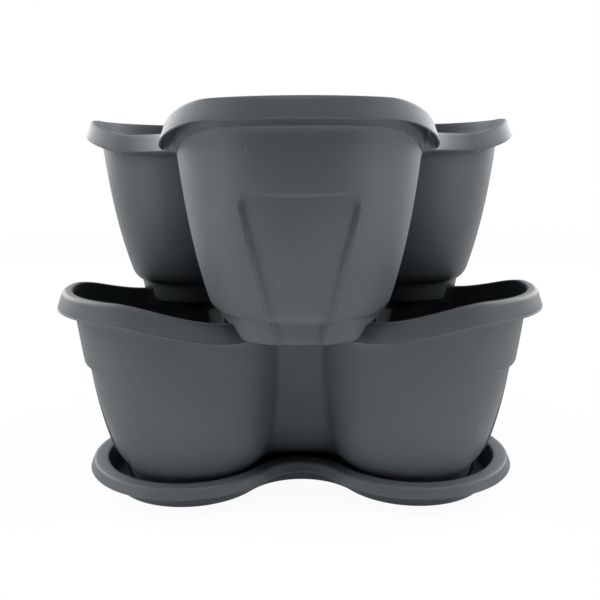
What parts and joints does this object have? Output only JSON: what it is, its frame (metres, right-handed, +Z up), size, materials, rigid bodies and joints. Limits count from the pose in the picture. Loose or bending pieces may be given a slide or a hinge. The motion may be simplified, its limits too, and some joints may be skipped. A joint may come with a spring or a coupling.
{
  "type": "vertical planter tower",
  "caption": "Free-standing tower of stacked three-lobed planting pots on a matching drip saucer, each tier turned half a lobe from the one below, moulded in matt dark grey plastic.",
  "frame": {"origin": "centre of the tower, on the surface that the saucer stands on", "axes": "+Z up; -Y is the front, where a lobe of the upper pot and a valley of the lower pot face; +X is the viewer's right"},
  "size_m": [0.3538, 0.3796, 0.2738],
  "materials": {
    "slate_polypropylene": "matt moulded"
  },
  "bodies": {
    "saucer": {"saucer": "slate_polypropylene"},
    "lower_pot": {"lower_pot": "slate_polypropylene"},
    "upper_pot": {"upper_pot": "slate_polypropylene"}
  },
  "joints": [
    {"name": "lower_pot_lift", "type": "slide", "parent": "saucer", "child": "lower_pot", "axis": [0, 0, 1], "range_m": [0, 0.04]},
    {"name": "upper_pot_lift", "type": "slide", "parent": "lower_pot", "child": "upper_pot", "axis": [0, 0, 1], "range_m": [0, 0.05]}
  ]
}
